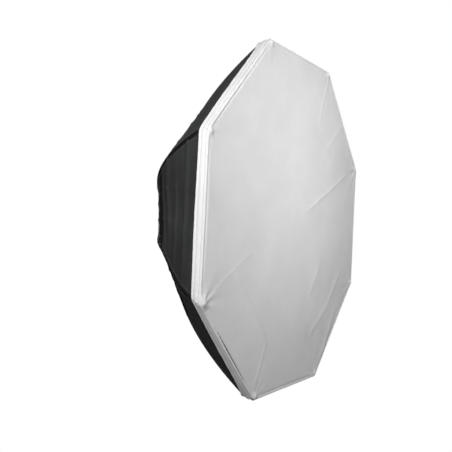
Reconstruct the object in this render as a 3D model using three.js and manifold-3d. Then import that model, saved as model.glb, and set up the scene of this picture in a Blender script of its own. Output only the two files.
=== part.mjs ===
// An eight-sided studio softbox: a rotating speed ring, eight sprung rods, a cloth shell and a white diffuser.
//
// Millimetres, +Z up. The optical axis is Y. The origin is the centre of the seat face, the flat ring of
// the bayonet adapter that rests on the flash head. The flash head is on the +Y side, and light leaves
// towards -Y.
import * as THREE from 'three';
import { mergeVertices } from 'three/addons/utils/BufferGeometryUtils.js';
import Module from 'manifold-3d';

const wasm = await Module();
wasm.setup();

// ---- Driving dimensions -----------------------------------------------------------------------------

const SIDES = 8;
const SIDE_ANGLE = (2 * Math.PI) / SIDES;
const APOTHEM = 439; // from the optical axis to the middle of a side of the front frame
const GAP = 0.3; // between pieces that touch
const CLOTH = 1.2; // thickness of each cloth solid

// The bent rods. Each one lies in a plane through the optical axis.
const ROD_RADIUS = 2;
const ROD_ROOT = { radius: 78, y: -27 }; // where a rod leaves its socket
const ROD_ROOT_ANGLE = THREE.MathUtils.degToRad(74.7); // between the rod and the optical axis, at the socket
const ROD_TIP_ANGLE = THREE.MathUtils.degToRad(31.4); // the same, at the rim
const ROD_REACH = { radius: 390, y: 343.5 }; // from the socket's mouth to the rim end
const ROD_ROOT_PULL = 164; // how far each end's direction carries into the bend
const ROD_RIM_PULL = 221;
const ROD_IN_SOCKET = 14;
const ROD_END = 0.978; // the share of the curve that the rod covers, before its cap
// Sprung rods don't all sit alike. The middle of this one leans round the optical axis and bows out less.
const SLACK_ROD = { index: 4, lean: THREE.MathUtils.degToRad(-5.4), drawnIn: 18 };

const SHELL_OFFSET = 5; // from a rod's centre to the outside of the shell
const SHELL_START = 0.028; // where on the curve the shell begins, clear of the ring
const SHELL_SAG = 5; // how far the middle of a gore is drawn in between its rods
const HEM_WIDTH = 24; // along the axis
const RIM_INSET = 3.2; // from the outside of the hem to the middle of the rim band

const BAFFLE_Y = -205;
const BAFFLE_APOTHEM = 276;
const STRAP_WIDTH = 16;
const CLEAR_OF_ROD = 7; // from a rod's centre to the end of its strap

// The metal parts. Radii are from the optical axis, and y is along it.
const SPIGOT = { bore: 42, radius: 45, lugRadius: 49, length: 9, lugLength: 2.6 };
const NECK_RADIUS = 54;
const FLANGE = { radius: 60, front: -15, back: -7 };
const RING = { radius: 76, wall: 71, front: -34, back: -1 };
const RUNNING_GAP = 0.5; // between the adapter and the ring that turns on it
const PLATE = { inner: 54.5, outer: 70.6, thickness: 2.5 };
const SOCKET = { radius: 4, length: 17, wall: 1.6, floor: 1.6 };
const SCREW = { circle: 66, radius: 1.9, head: 3.6, headHeight: 2, length: 8 };
const LOCK_Y = -11;
const LOCK_STUD_RADIUS = 3;
const LOCK_SHOE = { radius: 2.6, length: 4 };
const KNOB = { start: 79, neckLength: 4.5, neckRadius: 5.5, headLength: 12, radius: 9 };
const KNOB_LOBES = { count: 6, depth: 1.1 };

// ---- Materials --------------------------------------------------------------------------------------

const finish = (color, roughness, metalness = 0) =>
  new THREE.MeshStandardMaterial({ color, roughness, metalness, side: THREE.DoubleSide });

const MATERIAL = {
  adapter: finish(0xb9bbbd, 0.35, 1),
  ring: finish(0x26282a, 0.5, 0.6),
  steel: finish(0x9a9c9e, 0.3, 1),
  rod: finish(0x77797b, 0.35, 1),
  knob: finish(0x151515, 0.55),
  cap: finish(0x1a1a1a, 0.6),
  shoe: finish(0xb08d4a, 0.4, 1),
  shell: finish(0x1b1c1d, 0.85),
  band: finish(0x101010, 0.95),
  diffuser: finish(0xe9e9e7, 0.8),
};

// ---- Shared shapes and joins ------------------------------------------------------------------------

/** A geometry with only positions, its shared vertices merged. */
function bare(geometry) {
  const copy = geometry.clone();
  copy.deleteAttribute('normal');
  copy.deleteAttribute('uv');
  return mergeVertices(copy, 1e-4);
}

function toSolid(geometry) {
  const merged = bare(geometry);
  const vertProperties = new Float32Array(merged.attributes.position.array);
  const triVerts = new Uint32Array(merged.index.array);
  return new wasm.Manifold(new wasm.Mesh({ numProp: 3, vertProperties, triVerts }));
}

function fromSolid(solid) {
  const { vertProperties, triVerts } = solid.getMesh();
  const geometry = new THREE.BufferGeometry();
  geometry.setAttribute('position', new THREE.BufferAttribute(vertProperties, 3));
  geometry.setIndex(new THREE.BufferAttribute(triVerts, 1));
  return geometry;
}

/** The first geometry with the others joined on, and then with the cutters taken away. */
function joinAndCut(geometry, joined, cutters = []) {
  let solid = toSolid(geometry);
  for (const other of joined) solid = solid.add(toSolid(other));
  for (const cutter of cutters) solid = solid.subtract(toSolid(cutter));
  return fromSolid(solid);
}

/** A ring turned about Y from a closed outline of [radius, y] points. */
function turned(outline, segments = 48) {
  const points = [...outline, outline[0]].map(([radius, y]) => new THREE.Vector2(radius, y));
  return new THREE.LatheGeometry(points, segments);
}

/** A solid turned about Y, from an outline that starts and ends on the axis. */
function turnedSolid(outline, segments = 16) {
  return new THREE.LatheGeometry(outline.map(([radius, y]) => new THREE.Vector2(radius, y)), segments);
}

/** Moves a shape built along +Y so that its base is at the point and +Y lies along the direction. */
function stand(geometry, point, direction) {
  const turn = new THREE.Quaternion().setFromUnitVectors(new THREE.Vector3(0, 1, 0), direction);
  return geometry.applyQuaternion(turn).translate(point.x, point.y, point.z);
}

/** A rod along +Y from its base. */
function roundBar(radius, length, segments = 16) {
  return new THREE.CylinderGeometry(radius, radius, length, segments).translate(0, length / 2, 0);
}

/** The point at a radius and y, in the half-plane at the angle round the optical axis. */
const around = (angle, radius, y) => new THREE.Vector3(radius * Math.cos(angle), y, radius * Math.sin(angle));

const outward = (angle) => around(angle, 1, 0);
const FORWARD = new THREE.Vector3(0, -1, 0);
const cornerAngle = (k) => SIDE_ANGLE * (k + 0.5);

/** The regular outline with flat sides at left, right, top and bottom. */
function sidedShape(apothem, holeApothem) {
  const corners = (a) =>
    Array.from({ length: SIDES }, (_, k) => {
      const radius = a / Math.cos(SIDE_ANGLE / 2);
      return new THREE.Vector2(radius * Math.cos(cornerAngle(k)), radius * Math.sin(cornerAngle(k)));
    });
  const shape = new THREE.Shape(corners(apothem));
  if (holeApothem) shape.holes.push(new THREE.Path(corners(holeApothem).reverse()));
  return shape;
}

/** A flat-sided plate or band from y = back forward to y = front. */
function sidedPrism(shape, front, back) {
  return new THREE.ExtrudeGeometry(shape, { depth: back - front, bevelEnabled: false })
    .rotateX(Math.PI / 2)
    .translate(0, back, 0);
}

/** A thin closed solid between two surfaces, each a function of u and v in 0..1 that gives a point. */
function closedSheet(outerAt, innerAt, rows, columns) {
  const positions = [];
  const index = [];
  const perSide = (rows + 1) * (columns + 1);
  for (const surface of [outerAt, innerAt]) {
    for (let i = 0; i <= rows; i++) {
      for (let j = 0; j <= columns; j++) positions.push(...surface(i / rows, j / columns));
    }
  }
  const at = (side, i, j) => side * perSide + i * (columns + 1) + j;
  const quad = (a, b, c, d) => index.push(a, b, c, a, c, d);
  for (let i = 0; i < rows; i++) {
    for (let j = 0; j < columns; j++) {
      quad(at(0, i, j), at(0, i, j + 1), at(0, i + 1, j + 1), at(0, i + 1, j));
      quad(at(1, i, j), at(1, i + 1, j), at(1, i + 1, j + 1), at(1, i, j + 1));
    }
    quad(at(0, i, 0), at(0, i + 1, 0), at(1, i + 1, 0), at(1, i, 0));
    quad(at(0, i + 1, columns), at(0, i, columns), at(1, i, columns), at(1, i + 1, columns));
  }
  for (let j = 0; j < columns; j++) {
    quad(at(0, 0, j + 1), at(0, 0, j), at(1, 0, j), at(1, 0, j + 1));
    quad(at(0, rows, j), at(0, rows, j + 1), at(1, rows, j + 1), at(1, rows, j));
  }
  const geometry = new THREE.BufferGeometry();
  geometry.setAttribute('position', new THREE.Float32BufferAttribute(positions, 3));
  geometry.setIndex(index);
  return geometry;
}

// ---- The rods' curve --------------------------------------------------------------------------------

/** The unit direction at an angle from the light's direction, as (radial, y). */
const leaning = (angle) => new THREE.Vector2(Math.sin(angle), -Math.cos(angle));

const rodStart = new THREE.Vector2(ROD_ROOT.radius, ROD_ROOT.y);
const rodRim = new THREE.Vector2(ROD_ROOT.radius + ROD_REACH.radius, ROD_ROOT.y - ROD_REACH.y);
const rodCurve = new THREE.CubicBezierCurve(
  rodStart,
  rodStart.clone().addScaledVector(leaning(ROD_ROOT_ANGLE), ROD_ROOT_PULL),
  rodRim.clone().addScaledVector(leaning(ROD_TIP_ANGLE), -ROD_RIM_PULL),
  rodRim,
);

/** A point on the rod's curve, moved out of the box by the offset, as (radial, y). */
function besideRod(share, offset) {
  const tangent = rodCurve.getTangentAt(share);
  return rodCurve.getPointAt(share).add(new THREE.Vector2(-tangent.y, tangent.x).multiplyScalar(offset));
}

/** A point on rod k or, with an offset, on the shell's seam over it. */
function rodPoint(k, share, offset = 0) {
  const slack = k === SLACK_ROD.index ? Math.sin(Math.PI * share) ** 2 : 0;
  const { x, y } = besideRod(share, offset - slack * SLACK_ROD.drawnIn);
  return around(cornerAngle(k) + slack * SLACK_ROD.lean, x, y);
}

const rimEnd = besideRod(1, SHELL_OFFSET);
const HEM_BACK = rimEnd.y;
const FRONT = HEM_BACK - HEM_WIDTH;

// ---- Bayonet adapter --------------------------------------------------------------------------------

const LUG_ANGLES = [90, 210, 330].map(THREE.MathUtils.degToRad);
const LUG_HALF_ANGLE = THREE.MathUtils.degToRad(22);

/** The fixed part: a spigot with three lugs behind the seat face, and the flange that the ring turns on. */
function makeAdapter() {
  const body = turned([
    [SPIGOT.bore, FLANGE.front],
    [FLANGE.radius, FLANGE.front],
    [FLANGE.radius, FLANGE.back],
    [NECK_RADIUS, FLANGE.back],
    [NECK_RADIUS, 0],
    [SPIGOT.radius, 0],
    [SPIGOT.radius, SPIGOT.length],
    [SPIGOT.bore, SPIGOT.length],
  ]);
  const lugs = LUG_ANGLES.map((middle) => {
    const from = middle - LUG_HALF_ANGLE;
    const to = middle + LUG_HALF_ANGLE;
    const shape = new THREE.Shape();
    shape.absarc(0, 0, SPIGOT.lugRadius, from, to, false);
    shape.absarc(0, 0, SPIGOT.radius - 1, to, from, true);
    const settings = { depth: SPIGOT.lugLength, bevelEnabled: false, curveSegments: 8 };
    return new THREE.ExtrudeGeometry(shape, settings)
      .rotateX(Math.PI / 2)
      .translate(0, SPIGOT.length, 0);
  });
  const notchAt = around(LUG_ANGLES[0], SPIGOT.lugRadius + 0.3, SPIGOT.length - SPIGOT.lugLength - 1);
  const lockNotch = roundBar(2.2, SPIGOT.lugLength + 2, 12).translate(notchAt.x, notchAt.y, notchAt.z);
  return joinAndCut(body, lugs, [lockNotch]);
}

// ---- Speed ring -------------------------------------------------------------------------------------

const screwAngles = [45, 135, 225, 315].map(THREE.MathUtils.degToRad);
const lockAngles = [90, 270].map(THREE.MathUtils.degToRad);

/** The direction that rod k leaves its socket in. */
function rodDirection(k) {
  const lean = leaning(ROD_ROOT_ANGLE);
  return around(cornerAngle(k), lean.x, lean.y);
}

function socketFoot(k) {
  const mouth = around(cornerAngle(k), ROD_ROOT.radius, ROD_ROOT.y);
  return mouth.addScaledVector(rodDirection(k), -SOCKET.length);
}

/** The cast ring that turns on the adapter, bored for the sockets, the lock screws and the plate's screws. */
function makeSpeedring() {
  const lipFront = FLANGE.back + GAP;
  const step = FLANGE.front - GAP;
  const body = turned([
    [NECK_RADIUS + RUNNING_GAP, RING.back],
    [NECK_RADIUS + RUNNING_GAP, lipFront],
    [FLANGE.radius + RUNNING_GAP, lipFront],
    [FLANGE.radius + RUNNING_GAP, step],
    [RING.wall, step],
    [RING.wall, RING.front],
    [RING.radius, RING.front],
    [RING.radius, RING.back],
  ]);
  const cutters = [];
  for (let k = 0; k < SIDES; k++) {
    const foot = socketFoot(k);
    cutters.push(stand(roundBar(SOCKET.radius + GAP, SOCKET.length + 6, 16), foot, rodDirection(k)));
  }
  for (const angle of lockAngles) {
    const start = around(angle, FLANGE.radius - 1, LOCK_Y);
    cutters.push(stand(roundBar(LOCK_STUD_RADIUS + 0.4, 24, 16), start, outward(angle)));
  }
  for (const angle of screwAngles) {
    const end = around(angle, SCREW.circle, step + SCREW.length - 1);
    cutters.push(stand(roundBar(SCREW.radius + GAP, SCREW.length, 12), end, FORWARD));
  }
  return joinAndCut(body, [], cutters);
}

/** The plate screwed to the ring's front that keeps the adapter's flange in. */
function makeRetainerPlate() {
  const back = FLANGE.front - 2 * GAP;
  const front = back - PLATE.thickness;
  const body = turned([
    [PLATE.inner, front],
    [PLATE.outer, front],
    [PLATE.outer, back],
    [PLATE.inner, back],
  ]);
  const holes = screwAngles.map((angle) =>
    stand(roundBar(SCREW.radius + GAP, 10, 12), around(angle, SCREW.circle, back + 3), FORWARD),
  );
  return joinAndCut(body, [], holes);
}

/** A pan-head screw with a hexagon socket, built along +Y with the underside of its head at y = 0. */
function makeScrew() {
  const body = turnedSolid([
    [0, -SCREW.length],
    [SCREW.radius - 0.6, -SCREW.length],
    [SCREW.radius, 0.6 - SCREW.length],
    [SCREW.radius, 0],
    [SCREW.head, 0],
    [SCREW.head, SCREW.headHeight * 0.5],
    [SCREW.head * 0.7, SCREW.headHeight],
    [0, SCREW.headHeight],
  ]);
  const hexagon = new THREE.CylinderGeometry(1.25, 1.25, 3, 6).translate(0, SCREW.headHeight + 0.3, 0);
  return joinAndCut(body, [], [hexagon]);
}

/** A blind steel bush, built along +Y from its floor, that a rod plugs into. */
const makeSocket = () => turnedSolid([
  [0, 0],
  [SOCKET.radius, 0],
  [SOCKET.radius, SOCKET.length],
  [SOCKET.radius - SOCKET.wall, SOCKET.length],
  [SOCKET.radius - SOCKET.wall, SOCKET.floor],
  [0, SOCKET.floor],
]);

// ---- Lock screws ------------------------------------------------------------------------------------

/** Distances of each lock piece from the optical axis. */
const LOCK = {
  shoe: FLANGE.radius + 2 * GAP,
  stud: FLANGE.radius + 3 * GAP + LOCK_SHOE.length,
  studEnd: KNOB.start + KNOB.neckLength + 7,
};

const makeLockShoe = () => turnedSolid([
  [0, 0],
  [LOCK_SHOE.radius - 0.5, 0],
  [LOCK_SHOE.radius, 0.5],
  [LOCK_SHOE.radius, LOCK_SHOE.length],
  [0, LOCK_SHOE.length],
]);

const makeLockStud = () => turnedSolid([
  [0, 0],
  [LOCK_STUD_RADIUS - 0.6, 0],
  [LOCK_STUD_RADIUS, 0.6],
  [LOCK_STUD_RADIUS, LOCK.studEnd - LOCK.stud],
  [0, LOCK.studEnd - LOCK.stud],
]);

/** The lobed head on a round neck, built along +Y, with a blind hole for the stud. */
function makeLockKnob() {
  const neck = roundBar(KNOB.neckRadius, KNOB.neckLength + 1, 24);
  const shape = new THREE.Shape();
  const steps = KNOB_LOBES.count * 6;
  for (let i = 0; i < steps; i++) {
    const angle = (2 * Math.PI * i) / steps;
    const radius = KNOB.radius - KNOB_LOBES.depth * (0.5 - 0.5 * Math.cos(KNOB_LOBES.count * angle));
    const point = [radius * Math.cos(angle), radius * Math.sin(angle)];
    if (i === 0) shape.moveTo(...point);
    else shape.lineTo(...point);
  }
  shape.closePath();
  const head = new THREE.ExtrudeGeometry(shape, { depth: KNOB.headLength, bevelEnabled: false })
    .rotateX(-Math.PI / 2)
    .translate(0, KNOB.neckLength, 0);
  const bore = roundBar(LOCK_STUD_RADIUS + GAP, LOCK.studEnd - KNOB.start + GAP + 1).translate(0, -1, 0);
  return joinAndCut(neck, [head], [bore]);
}

// ---- Rods and caps ----------------------------------------------------------------------------------

/** Rod k's centreline, from inside its socket to its rim end. */
function rodPath(k) {
  const bend = Array.from({ length: 13 }, (_, i) => rodPoint(k, (i / 12) * ROD_END));
  const foot = bend[0].clone().addScaledVector(rodDirection(k), -ROD_IN_SOCKET);
  const path = new THREE.CurvePath();
  path.add(new THREE.LineCurve3(foot, bend[0]));
  path.add(new THREE.CatmullRomCurve3(bend));
  return path;
}

function circleShape(radius, sides) {
  const corner = (_, i) => {
    const angle = (2 * Math.PI * i) / sides;
    return new THREE.Vector2(radius * Math.cos(angle), radius * Math.sin(angle));
  };
  return new THREE.Shape(Array.from({ length: sides }, corner));
}

const makeRod = (k) =>
  new THREE.ExtrudeGeometry(circleShape(ROD_RADIUS, 8), {
    steps: 18,
    bevelEnabled: false,
    extrudePath: rodPath(k),
  });

const CAP = { radius: 3, length: 9, cover: 6 };

/** The moulded cap on a rod's end, built along +Y from its mouth. */
const makeRodCap = () => turnedSolid([
  [0, CAP.cover],
  [ROD_RADIUS + GAP, CAP.cover],
  [ROD_RADIUS + GAP, 0],
  [CAP.radius, 0],
  [CAP.radius, CAP.length - 2],
  [CAP.radius * 0.6, CAP.length],
  [0, CAP.length],
], 12);

/** Puts a shape built along +Y on the end of rod k. */
function onRodEnd(geometry, k) {
  const tip = rodPoint(k, ROD_END);
  const direction = tip.clone().sub(rodPoint(k, ROD_END - 0.01)).normalize();
  return stand(geometry, tip.addScaledVector(direction, GAP - CAP.cover), direction);
}

// ---- Cloth ------------------------------------------------------------------------------------------

/** One gore of the shell, stretched between rod k - 1 and rod k, and drawn in a little between them. */
function makeGore(k) {
  const middle = SIDE_ANGLE * k;
  const surface = (offset) => (u, v) => {
    const share = SHELL_START + (1 - SHELL_START) * u;
    const from = rodPoint(k - 1, share, offset);
    const to = rodPoint(k, share, offset);
    const edge = (0.5 * GAP + 0.1) / from.distanceTo(to);
    const across = edge + (1 - 2 * edge) * v;
    const tangent = rodCurve.getTangentAt(share);
    const normal = new THREE.Vector2(-tangent.y, tangent.x * Math.cos(SIDE_ANGLE / 2)).normalize();
    const sag = SHELL_SAG * Math.sin(Math.PI * u) * 4 * across * (1 - across);
    return from.lerp(to, across).addScaledVector(around(middle, normal.x, normal.y), -sag);
  };
  return closedSheet(surface(SHELL_OFFSET), surface(SHELL_OFFSET - CLOTH), 12, 4);
}

/** The short sleeve that closes the shell round the ring. */
function makeRearCollar() {
  const front = besideRod(SHELL_START, SHELL_OFFSET);
  const wide = front.x * Math.cos(SIDE_ANGLE / 2) - 1;
  const narrow = RING.radius + 2;
  const frontY = front.y + 1;
  const backY = LOCK_Y - KNOB.neckRadius - 1;
  return turned([
    [wide - CLOTH, frontY],
    [wide, frontY],
    [narrow + CLOTH, backY],
    [narrow, backY],
  ]);
}

/** The stiffened band round the shell's mouth, with a block in each corner that takes a rod's cap. */
function makeRimBand() {
  const outer = APOTHEM - RIM_INSET;
  const shape = sidedShape(outer, outer - 2);
  const band = sidedPrism(shape, FRONT + 2, HEM_BACK - 1);
  const blocks = Array.from({ length: SIDES }, (_, k) => {
    const radius = (outer - 1.5) / Math.cos(SIDE_ANGLE / 2);
    const block = new THREE.BoxGeometry(10, 12, 14).translate(radius - 5, HEM_BACK - 9, 0);
    return block.rotateY(-cornerAngle(k));
  });
  const capRoom = () => roundBar(CAP.radius + GAP, CAP.length + GAP, 12);
  const room = Array.from({ length: SIDES }, (_, k) => onRodEnd(capRoom(), k));
  return joinAndCut(band, blocks, room);
}

const makeHem = () => sidedPrism(sidedShape(APOTHEM, APOTHEM - CLOTH), FRONT + CLOTH + GAP, HEM_BACK - 0.5);
const makeDiffuser = () => sidedPrism(sidedShape(APOTHEM), FRONT, FRONT + CLOTH);
const makeBaffle = () => sidedPrism(sidedShape(BAFFLE_APOTHEM), BAFFLE_Y - CLOTH, BAFFLE_Y);

/** The point where rod k passes the given y. */
function rodAtY(k, y) {
  let low = 0;
  let high = 1;
  for (let i = 0; i < 30; i++) {
    const share = (low + high) / 2;
    if (rodPoint(k, share).y > y) low = share;
    else high = share;
  }
  return rodPoint(k, low);
}

/** The elastic strap that holds a corner of the baffle to rod k. */
function makeBaffleStrap(k) {
  const middleY = BAFFLE_Y - CLOTH / 2;
  const start = around(cornerAngle(k), BAFFLE_APOTHEM / Math.cos(SIDE_ANGLE / 2), middleY);
  const rod = rodAtY(k, middleY);
  const along = rod.clone().sub(start).normalize();
  const clearOfBaffle = (STRAP_WIDTH / 2) * Math.abs(along.dot(outward(cornerAngle(k) + Math.PI / 2))) + 1;
  const length = start.distanceTo(rod) - clearOfBaffle - CLEAR_OF_ROD;
  return new THREE.BoxGeometry(length, CLOTH, STRAP_WIDTH)
    .translate(length / 2 + clearOfBaffle, 0, 0)
    .rotateY(-Math.atan2(along.z, along.x))
    .translate(start.x, start.y, start.z);
}

// ---- The assembly -----------------------------------------------------------------------------------

const softbox = new THREE.Group();

function add(name, geometry, material, parent = softbox) {
  const mesh = new THREE.Mesh(geometry, material);
  mesh.name = name;
  parent.add(mesh);
  return mesh;
}

add('bayonet_adapter', makeAdapter(), MATERIAL.adapter);
add('speedring', makeSpeedring(), MATERIAL.ring);
add('retainer_plate', makeRetainerPlate(), MATERIAL.steel);
screwAngles.forEach((angle, i) => {
  const underHead = FLANGE.front - 3 * GAP - PLATE.thickness;
  const screw = stand(makeScrew(), around(angle, SCREW.circle, underHead), FORWARD);
  add(`retainer_screw_${i + 1}`, screw, MATERIAL.steel);
});

lockAngles.forEach((angle, i) => {
  const place = (geometry, radius) => stand(geometry, around(angle, radius, LOCK_Y), outward(angle));
  add(`lock_shoe_${i + 1}`, place(makeLockShoe(), LOCK.shoe), MATERIAL.shoe);
  add(`lock_stud_${i + 1}`, place(makeLockStud(), LOCK.stud), MATERIAL.steel);
  add(`lock_knob_${i + 1}`, place(makeLockKnob(), KNOB.start), MATERIAL.knob);
});

for (let k = 0; k < SIDES; k++) {
  add(`rod_socket_${k + 1}`, stand(makeSocket(), socketFoot(k), rodDirection(k)), MATERIAL.steel);
  add(`rod_${k + 1}`, makeRod(k), MATERIAL.rod);
  add(`rod_cap_${k + 1}`, onRodEnd(makeRodCap(), k), MATERIAL.cap);
  add(`shell_gore_${k + 1}`, makeGore(k), MATERIAL.shell);
  add(`baffle_strap_${k + 1}`, makeBaffleStrap(k), MATERIAL.band);
}

add('rear_collar', makeRearCollar(), MATERIAL.shell);
add('rim_band', makeRimBand(), MATERIAL.band);
add('front_diffuser', makeDiffuser(), MATERIAL.diffuser);
add('diffuser_hem', makeHem(), MATERIAL.diffuser);
add('inner_baffle', makeBaffle(), MATERIAL.diffuser);

export default softbox;
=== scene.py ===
"""The looks of an eight-sided studio softbox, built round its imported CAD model.

Metres, +Z up, in the CAD's own frame: the optical axis is Y, the bayonet's seat face is at the origin
and light leaves towards -Y. Angles round the axis start at +X and turn towards +Z. Sides and corners are
numbered from 0: side k is in the middle of corners k - 1 and k.
"""

import math

import bmesh
import bpy
import numpy as np
from mathutils import Matrix, Vector, noise


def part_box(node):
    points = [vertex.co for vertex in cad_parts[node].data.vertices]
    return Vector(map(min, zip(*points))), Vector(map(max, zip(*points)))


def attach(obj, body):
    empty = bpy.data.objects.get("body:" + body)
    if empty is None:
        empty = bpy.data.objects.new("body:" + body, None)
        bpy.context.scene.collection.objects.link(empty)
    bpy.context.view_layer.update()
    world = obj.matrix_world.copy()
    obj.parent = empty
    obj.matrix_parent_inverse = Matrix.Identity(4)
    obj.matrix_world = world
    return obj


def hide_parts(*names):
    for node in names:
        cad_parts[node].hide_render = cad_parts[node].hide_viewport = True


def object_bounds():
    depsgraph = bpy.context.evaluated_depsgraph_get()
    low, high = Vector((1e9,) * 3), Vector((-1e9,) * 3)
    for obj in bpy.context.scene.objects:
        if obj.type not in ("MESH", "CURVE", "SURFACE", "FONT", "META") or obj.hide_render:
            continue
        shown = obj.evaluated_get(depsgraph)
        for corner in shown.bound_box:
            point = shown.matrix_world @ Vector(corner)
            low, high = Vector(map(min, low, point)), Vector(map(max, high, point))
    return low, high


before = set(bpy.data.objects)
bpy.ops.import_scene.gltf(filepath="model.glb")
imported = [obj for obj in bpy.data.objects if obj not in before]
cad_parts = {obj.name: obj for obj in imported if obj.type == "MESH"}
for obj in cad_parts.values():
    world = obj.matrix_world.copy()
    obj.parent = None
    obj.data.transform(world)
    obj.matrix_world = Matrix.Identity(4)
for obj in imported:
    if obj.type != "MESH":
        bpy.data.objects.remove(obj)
cad_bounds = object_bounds()

MM = 0.001
SIDES = 8
SIDE_ANGLE = 2 * math.pi / SIDES
HALF_SIDE = SIDE_ANGLE / 2

face_low, face_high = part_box("front_diffuser")
APOTHEM = face_high.x
FRONT = face_low.y
HEM_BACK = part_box("rim_band")[1].y + 1 * MM
HEM_WIDTH = HEM_BACK - FRONT
SIDE_LENGTH = 2 * APOTHEM * math.tan(HALF_SIDE)

# The bent rods' centreline, a cubic curve in a plane through the optical axis, as (radius, y).
ROD_ROOT = np.array([78, -27]) * MM
ROD_RIM = np.array([468, -370.5]) * MM
ROD_ROOT_ANGLE = math.radians(74.7)
ROD_TIP_ANGLE = math.radians(31.4)
ROD_ROOT_PULL = 164 * MM
ROD_RIM_PULL = 221 * MM
ROD_RADIUS = 2 * MM
ROD_END = 0.978  # share of the curve where the bar ends, in its cap
ROD_IN_SOCKET = 14 * MM
SLACK_ROD = 4  # the rod that leans and bows less than the others
SLACK_LEAN = math.radians(-5.4)
SLACK_DRAWN_IN = 18 * MM

SHELL_OFFSET = 5 * MM  # from a rod's centreline to the cloth
SHELL_START = 0.028  # share of the rod's curve where the cloth begins
SHELL_SAG = 5 * MM  # how far the cloth is drawn in halfway between two rods
REAR_PANEL_END = 0.5  # share of the rod's curve that the rear panel covers; its darker cloth is partly painted shade, where the shell turns away from the light
CLOTH = 0.8 * MM  # thickness
FRONTWARD = np.array([0.0, -1.0, 0.0])


# ---- Numbers round the axis ----

def around(angle, radius, y):
    """Points at a radius and y, in the half-planes at the angles round the optical axis."""
    return np.stack(np.broadcast_arrays(radius * np.cos(angle), y, radius * np.sin(angle)), axis=-1)


def corner_angle(k):
    return SIDE_ANGLE * (k + 0.5)


def unit(vectors):
    return vectors / np.linalg.norm(vectors, axis=-1, keepdims=True)


def paired(first, second):
    """The flat coordinates of a grid's points, from one number for each row and one for each column."""
    return np.stack(np.broadcast_arrays(first, second), axis=-1)


def distances(path):
    """How far along the path each of its points is."""
    steps = np.linalg.norm(np.diff(path, axis=0), axis=1)
    return np.concatenate([[0], np.cumsum(steps)])


def bell(distance, width):
    """1 where the distance is 0, and falling off smoothly over the width."""
    return np.exp(-((distance / width) ** 2))


def cloud(points, size, seed=0.0):
    """Smooth noise of about -1 to 1 at the points, with lumps of about the size."""
    flat = np.asarray(points, float).reshape(-1, 3) / size + seed
    values = [noise.noise(Vector(p)) for p in flat]
    return np.array(values).reshape(np.shape(points)[:-1])


# ---- The rods' curve and the shell's surface ----

def leaning(angle):
    return np.array([math.sin(angle), -math.cos(angle)])


CURVE_POLES = [
    ROD_ROOT,
    ROD_ROOT + leaning(ROD_ROOT_ANGLE) * ROD_ROOT_PULL,
    ROD_RIM - leaning(ROD_TIP_ANGLE) * ROD_RIM_PULL,
    ROD_RIM,
]


def curve_point(t):
    a, b, c, d = CURVE_POLES
    t = np.asarray(t, float)[..., None]
    return a * (1 - t) ** 3 + 3 * b * t * (1 - t) ** 2 + 3 * c * t * t * (1 - t) + d * t**3


CURVE_STEPS = np.linspace(0, 1, 401)
CURVE_LENGTHS = distances(curve_point(CURVE_STEPS))
ROD_LENGTH = CURVE_LENGTHS[-1]


def rod_profile(share, offset=0.0):
    """(radius, y, tangent's radial part, tangent's y part) at shares of the curve's length."""
    t = np.interp(np.asarray(share, float) * ROD_LENGTH, CURVE_LENGTHS, CURVE_STEPS)
    tangent = unit(curve_point(t + 1e-4) - curve_point(t - 1e-4))
    point = curve_point(t)
    radius = point[..., 0] - tangent[..., 1] * offset
    y = point[..., 1] + tangent[..., 0] * offset
    return radius, y, tangent[..., 0], tangent[..., 1]


def seam(k, share, offset=SHELL_OFFSET):
    """Points over rod k, the offset out of the box from its centreline."""
    share = np.asarray(share, float)
    slack = np.sin(np.pi * share) ** 2 if k % SIDES == SLACK_ROD else 0.0
    radius, y, _, _ = rod_profile(share, offset - slack * SLACK_DRAWN_IN)
    return around(corner_angle(k) + slack * SLACK_LEAN, radius, y)


def gore_width(k, share):
    return np.linalg.norm(seam(k, share) - seam(k - 1, share), axis=-1)


def gore_normal(k, share):
    _, _, along_radius, along_y = rod_profile(share)
    outward = unit(np.stack([-along_y, along_radius * math.cos(HALF_SIDE)], axis=-1))
    return around(SIDE_ANGLE * k, outward[..., 0], outward[..., 1])


def gore_surface(k, share, across, lift=0.0):
    """Points on gore k, at shares of its length from the ring and of its width from rod k - 1 to rod k."""
    start = seam(k - 1, share)
    end = seam(k, share)
    along = (share - SHELL_START) / (1 - SHELL_START)
    sag = SHELL_SAG * np.sin(np.pi * np.clip(along, 0, 1)) * 4 * across * (1 - across)
    rise = np.asarray(lift - sag)[..., None]
    return start + (end - start) * np.asarray(across)[..., None] + gore_normal(k, share) * rise


CORNERS = corner_angle(np.arange(SIDES))
MIDDLES = (CORNERS + corner_angle(np.arange(SIDES) - 1)) / 2


def side_places(angle):
    """For each angle: its side's number, and how far along that side it is, from 0 to 1."""
    turned = (np.asarray(angle) + HALF_SIDE) % (2 * math.pi) - HALF_SIDE
    side = np.clip(np.searchsorted(CORNERS, turned, side="right"), 0, SIDES - 1)
    along = 0.5 + 0.5 * np.tan(turned - MIDDLES[side]) / math.tan(HALF_SIDE)
    return side, np.clip(along, 0, 1)


def outline(angle, apothem, sharpness=150):
    """The distance from the axis to an octagon's edge, whose corners are eased a little."""
    nearest = sum(np.clip(np.cos(angle - middle), 0, None) ** sharpness for middle in MIDDLES)
    return apothem / nearest ** (1 / sharpness)


def outline_angles(per_side):
    """Angles of points all round, closer together near the corners."""
    steps = np.arange(per_side) / per_side
    eased = 0.35 * steps + 0.65 * (0.5 - 0.5 * np.cos(np.pi * steps))
    return (np.arctan((2 * eased - 1) * math.tan(HALF_SIDE)) + MIDDLES[:, None]).ravel()


# ---- Meshes ----

def adjust(thing, settings):
    """Sets what the settings name: with a capital a node's socket, with _ for a space, or else a property."""
    for key, value in settings.items():
        if key[0].isupper():
            thing.inputs[key.replace("_", " ")].default_value = value
        else:
            setattr(thing, key, value)
    return thing


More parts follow.
